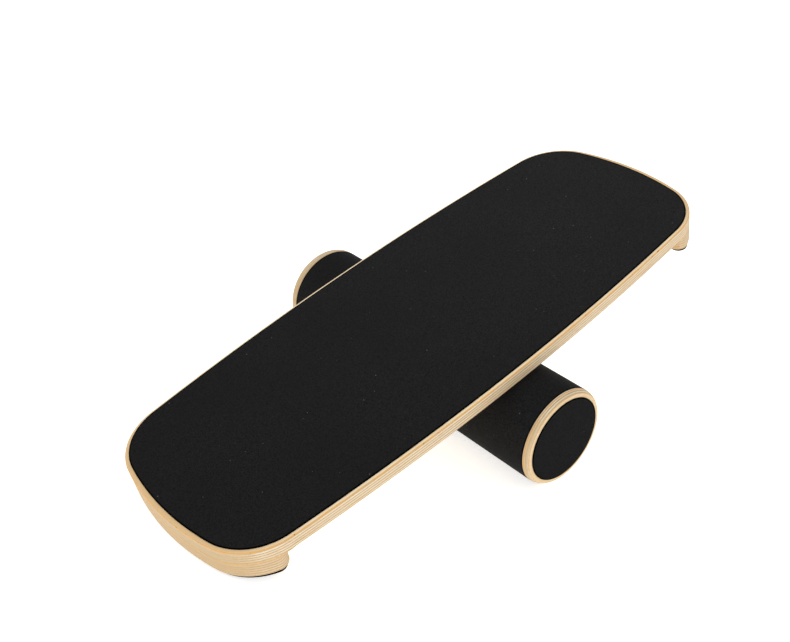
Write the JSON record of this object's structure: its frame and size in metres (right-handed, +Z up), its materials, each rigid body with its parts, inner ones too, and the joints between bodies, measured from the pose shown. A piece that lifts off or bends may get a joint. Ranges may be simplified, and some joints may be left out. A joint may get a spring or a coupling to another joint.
{
  "type": "balance board",
  "caption": "Flat plywood balance deck with grip top and padded end stops, rocking and travelling across a loose round roller with plywood ends.",
  "frame": {"origin": "middle of the bounding box at floor level: below the roller's mid-length, near the deck's middle", "axes": "+X along the deck towards its raised end, +Y along the roller, +Z up; at rest the low end and the roller are on the floor at Z = 0"},
  "size_m": [0.7364, 0.4274, 0.219],
  "materials": {
    "plywood": "clear satin lacquer, plies showing on the edge",
    "grit_sheet": "coarse matte black grit",
    "plywood_stop": "clear satin lacquer, plies showing on the edge",
    "pad_rubber": "matte black rubber",
    "zinc_steel": "yellow zinc plated",
    "plywood_cap": "clear satin lacquer, plies showing on the rim",
    "plug_wood": "bare sawn wood",
    "pipe_plastic": "plain grey pipe",
    "sleeve_rubber": "matte black cushion layer"
  },
  "bodies": {
    "roller_axis": {"roller_sleeve": "sleeve_rubber"},
    "roller": {"roller_wrap": "grit_sheet", "near_end_cap": "plywood_cap", "far_end_cap": "plywood_cap", "near_grip_disc": "grit_sheet", "far_grip_disc": "grit_sheet", "near_end_plug": "plug_wood", "far_end_plug": "plug_wood", "near_cap_screws": "zinc_steel", "far_cap_screws": "zinc_steel"},
    "deck_carrier": {"roller_core_tube": "pipe_plastic"},
    "deck": {"deck_panel": "plywood", "deck_grip_sheet": "grit_sheet", "low_end_stop": "plywood_stop", "high_end_stop": "plywood_stop", "low_stop_pad": "pad_rubber", "high_stop_pad": "pad_rubber", "low_stop_screws": "zinc_steel", "high_stop_screws": "zinc_steel"}
  },
  "joints": [
    {"name": "roller_spin", "type": "hinge", "parent": "roller_axis", "child": "roller", "pos_m": [0.02334, 0, 0.0585], "axis": [0, 1, 0], "range_deg": [-245.6, 265.1]},
    {"name": "deck_tilt", "type": "hinge", "parent": "roller_axis", "child": "deck_carrier", "pos_m": [0.02334, 0, 0.0585], "axis": [0, 1, 0], "range_deg": [0, 28.5]},
    {"name": "deck_travel", "type": "slide", "parent": "deck_carrier", "child": "deck", "axis": [-0.9708, 0, -0.2399], "range_m": [-0.2702, 0.2502]}
  ],
  "couplings": [
    {"joint": "roller_spin", "follows": "deck_travel", "rad_per_m": -17.094}
  ]
}
